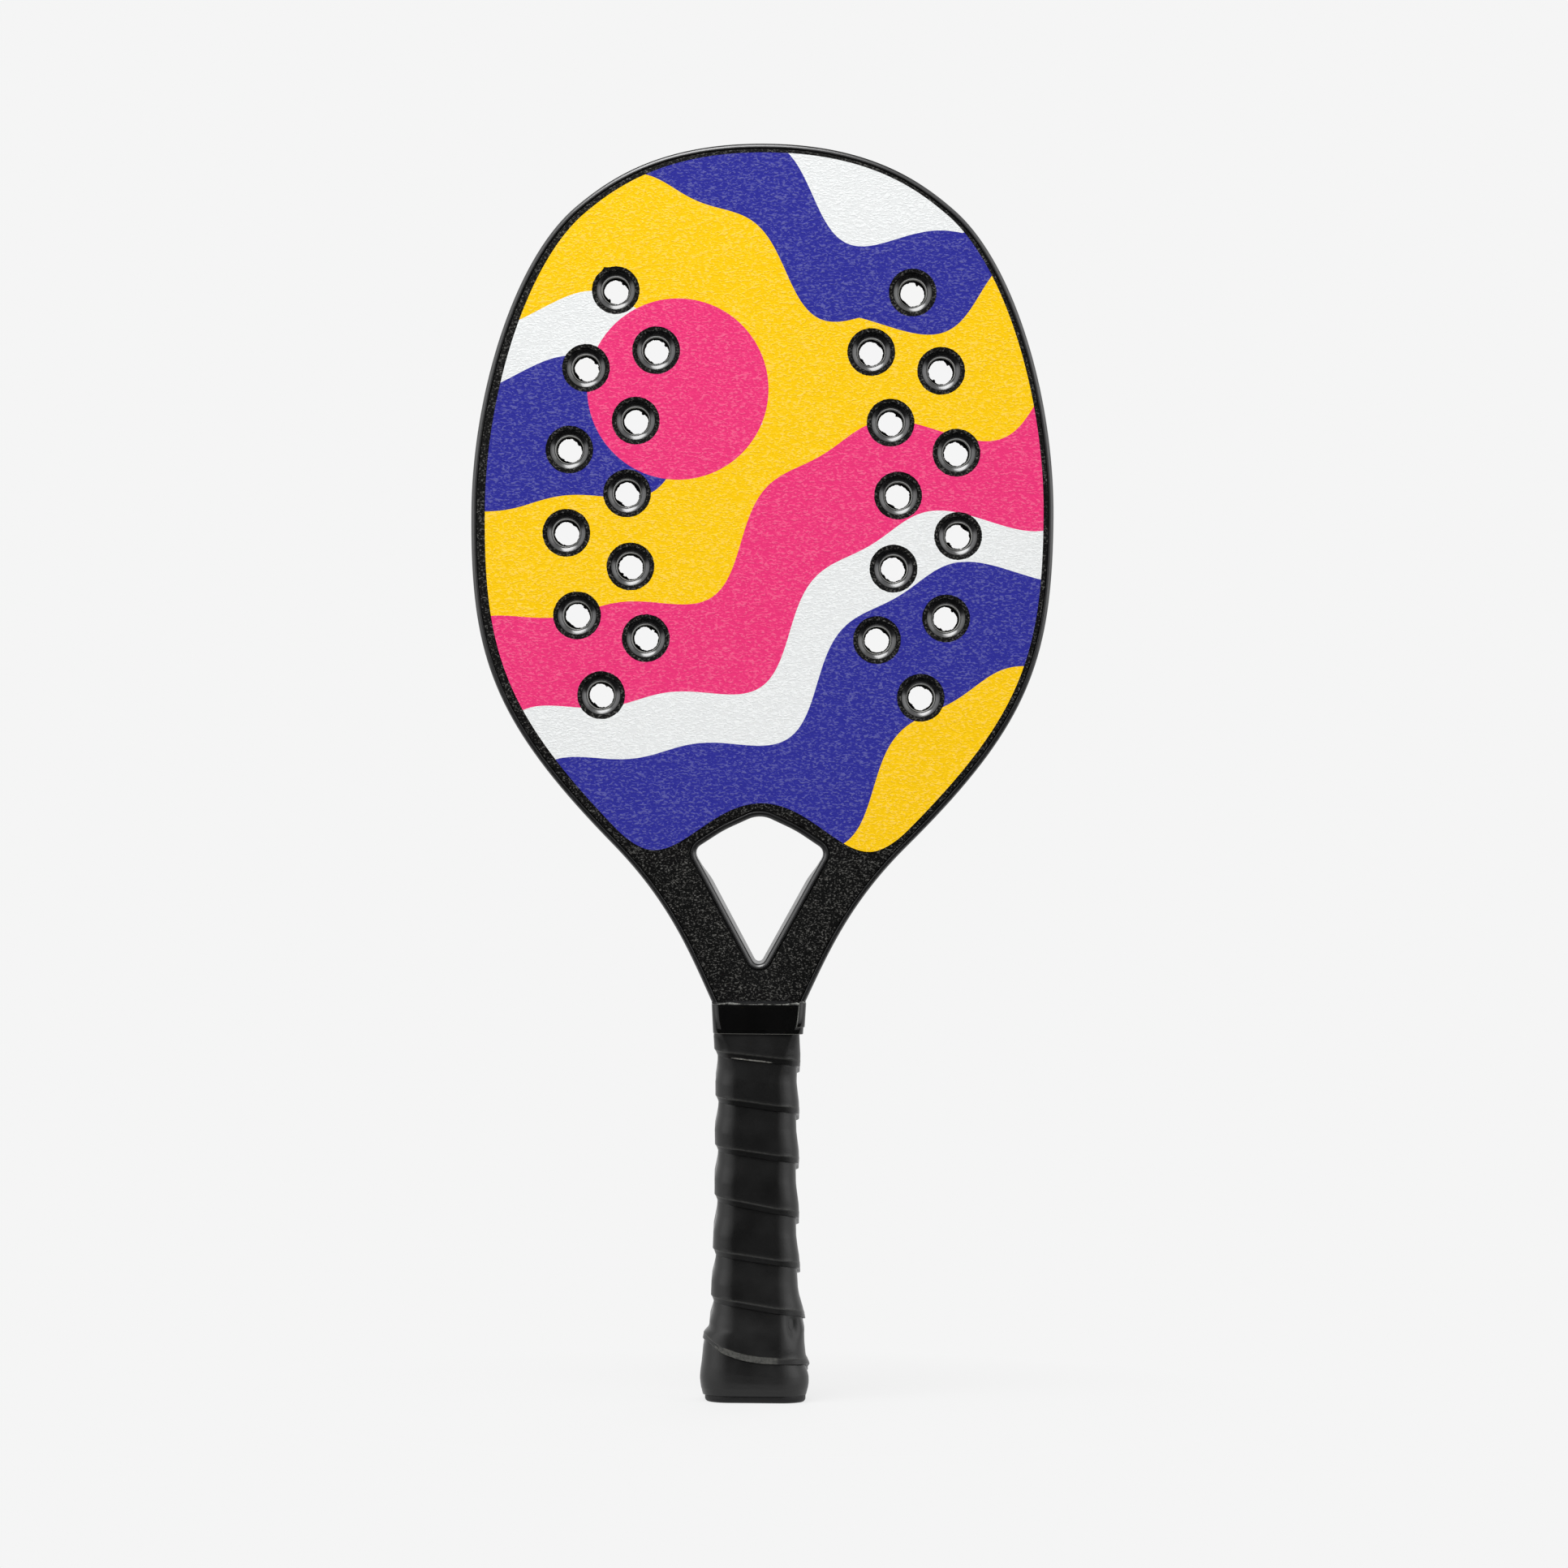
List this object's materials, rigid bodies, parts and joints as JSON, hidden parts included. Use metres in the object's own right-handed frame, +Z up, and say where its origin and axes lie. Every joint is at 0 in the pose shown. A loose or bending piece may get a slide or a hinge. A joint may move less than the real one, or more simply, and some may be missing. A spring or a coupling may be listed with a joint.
{
  "type": "beach tennis racket",
  "caption": "Beach tennis racket with a perforated foam-cored head, open throat window, colour-blocked faces, wound rubbery grip tape and a flared butt cap.",
  "frame": {"origin": "centre of the butt cap's flat base, which the racket stands on", "axes": "+Z up the handle to the crown of the head, +X across the head to the right as seen from the front, -Y out of the front face"},
  "size_m": [0.2316, 0.0376, 0.5],
  "materials": {
    "satin_rim": "satin moulded composite",
    "textured_coat": "fine textured black coat",
    "front_print": "embossed printed film, semi-gloss",
    "back_print": "embossed printed film, semi-gloss",
    "hole_liner": "smooth gloss black",
    "foam": "closed-cell foam",
    "handle_pad": "rigid moulded foam",
    "grip_tape": "matte-satin tacky tape",
    "finishing_tape": "gloss adhesive tape",
    "butt_cap": "satin moulded"
  },
  "bodies": {
    "root": {"hoop_frame": "satin_rim", "throat_bridge": "satin_rim", "foam_core": "foam", "front_face_laminate": "textured_coat", "back_face_laminate": "textured_coat", "front_printed_film": "front_print", "back_printed_film": "back_print", "handle_pallet_front": "handle_pad", "handle_pallet_back": "handle_pad", "butt_cap": "butt_cap", "grip_tape": "grip_tape", "finishing_tape": "finishing_tape", "hole_liner_left_outer_1": "hole_liner", "hole_liner_left_outer_2": "hole_liner", "hole_liner_left_outer_3": "hole_liner", "hole_liner_left_outer_4": "hole_liner", "hole_liner_left_outer_5": "hole_liner", "hole_liner_left_outer_6": "hole_liner", "hole_liner_left_inner_1": "hole_liner", "hole_liner_left_inner_2": "hole_liner", "hole_liner_left_inner_3": "hole_liner", "hole_liner_left_inner_4": "hole_liner", "hole_liner_left_inner_5": "hole_liner", "hole_liner_right_outer_1": "hole_liner", "hole_liner_right_outer_2": "hole_liner", "hole_liner_right_outer_3": "hole_liner", "hole_liner_right_outer_4": "hole_liner", "hole_liner_right_outer_5": "hole_liner", "hole_liner_right_outer_6": "hole_liner", "hole_liner_right_inner_1": "hole_liner", "hole_liner_right_inner_2": "hole_liner", "hole_liner_right_inner_3": "hole_liner", "hole_liner_right_inner_4": "hole_liner", "hole_liner_right_inner_5": "hole_liner"}
  },
  "joints": []
}
